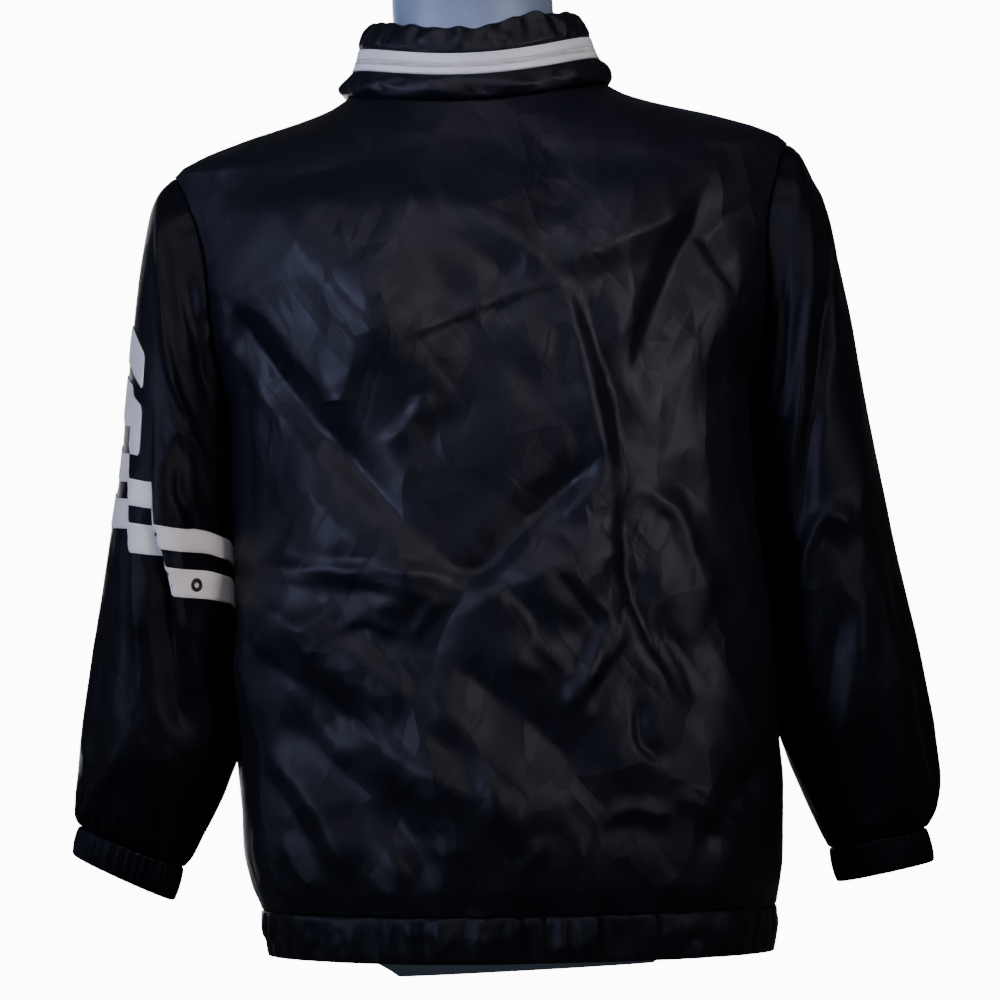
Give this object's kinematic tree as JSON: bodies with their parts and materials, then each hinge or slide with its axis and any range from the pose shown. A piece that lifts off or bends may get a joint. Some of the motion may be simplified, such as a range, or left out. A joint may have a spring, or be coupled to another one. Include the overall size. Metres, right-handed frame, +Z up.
{
  "type": "windbreaker on a dress form",
  "caption": "Nylon windbreaker with a full front zip, a zipped stand collar, gathered cuffs and hem and a striped left sleeve, on a limbless dress form.",
  "frame": {"origin": "on the flat foot of the dress form, below the middle of the neck", "axes": "+Z up along the garment's height, the longest extent; +Y towards the back, the shortest extent; +X towards the wearer's left"},
  "size_m": [0.7419, 0.3092, 0.844],
  "materials": {
    "nylon": "smooth semi-gloss woven nylon",
    "white": "matt off-white woven tape and twill",
    "coil": "off-white coil",
    "tape": "dark woven zip tape",
    "metal": "dark antique metal",
    "form": "smooth pale blue-grey shell"
  },
  "bodies": {
    "jacket": {"form": "form", "back_panel": "nylon", "front_left": "nylon", "front_right": "nylon", "sleeve_left": "nylon", "sleeve_right": "nylon", "cuff_left": "nylon", "cuff_right": "nylon", "hem_band": "nylon", "collar_lower": "nylon", "collar_tape_lower": "white", "collar_coil": "coil", "collar_tape_upper": "white", "collar_upper": "nylon", "stripe_high": "white", "stripe_low": "white", "bar_high": "white", "bar_low": "white", "eyelet": "metal", "zip_tape_left": "tape", "zip_tape_right": "tape", "zip_coil": "tape", "zip_slider": "metal"},
    "pull": {"zip_pull": "metal"}
  },
  "joints": [
    {"name": "pull_swing", "type": "hinge", "parent": "jacket", "child": "pull", "pos_m": [0, -0.07911, 0.739], "axis": [-1, 0, 0], "range_deg": [0, 165]}
  ]
}
